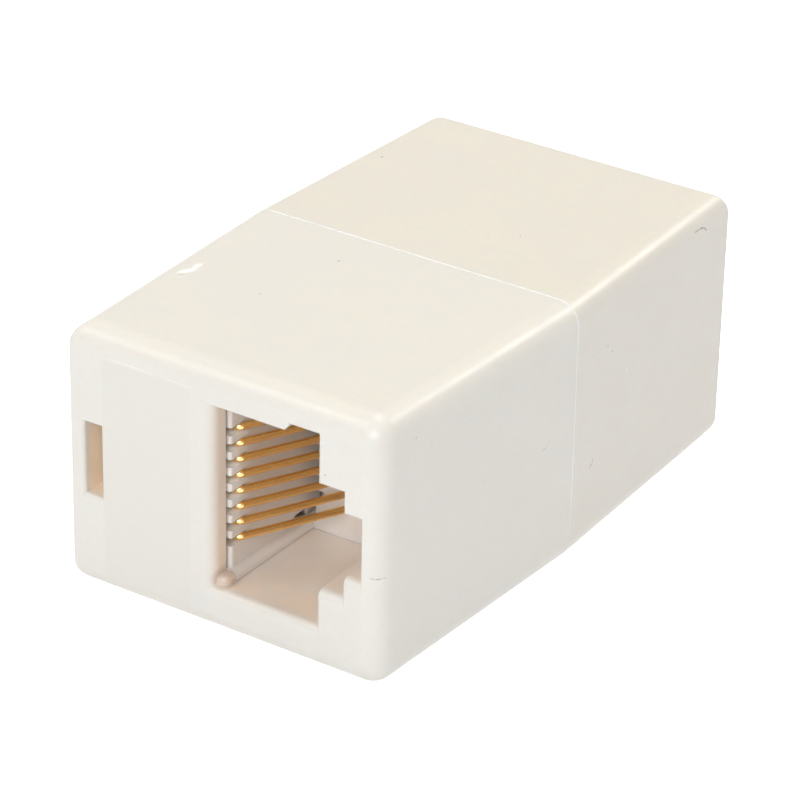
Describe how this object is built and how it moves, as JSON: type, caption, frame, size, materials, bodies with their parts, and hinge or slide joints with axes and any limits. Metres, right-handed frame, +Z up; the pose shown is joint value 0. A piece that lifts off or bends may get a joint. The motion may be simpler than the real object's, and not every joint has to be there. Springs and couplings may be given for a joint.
{
  "type": "rj45 inline coupler",
  "caption": "Rectangular inline coupler with a modular jack at each end, formed contact wires and a snap-together two-half plastic housing.",
  "frame": {"origin": "under the middle of the body, on the long side face that it rests on, halfway between the two end faces", "axes": "+Z up from the resting face, +Y along the length from the front jack to the rear jack, +X across towards the latch side of the front jack"},
  "size_m": [0.023, 0.0376, 0.0169],
  "materials": {
    "housing_plastic": "fine satin, cream white",
    "carrier_plastic": "satin, off-white with a faint pink tint",
    "contact_metal": "gold-coloured, polished, drawn wire"
  },
  "bodies": {
    "root": {"front_shell": "housing_plastic", "rear_shell": "housing_plastic", "contact_carrier": "carrier_plastic", "contact_wire_1": "contact_metal", "contact_wire_2": "contact_metal", "contact_wire_3": "contact_metal", "contact_wire_4": "contact_metal", "contact_wire_5": "contact_metal", "contact_wire_6": "contact_metal", "contact_wire_7": "contact_metal", "contact_wire_8": "contact_metal"}
  },
  "joints": []
}
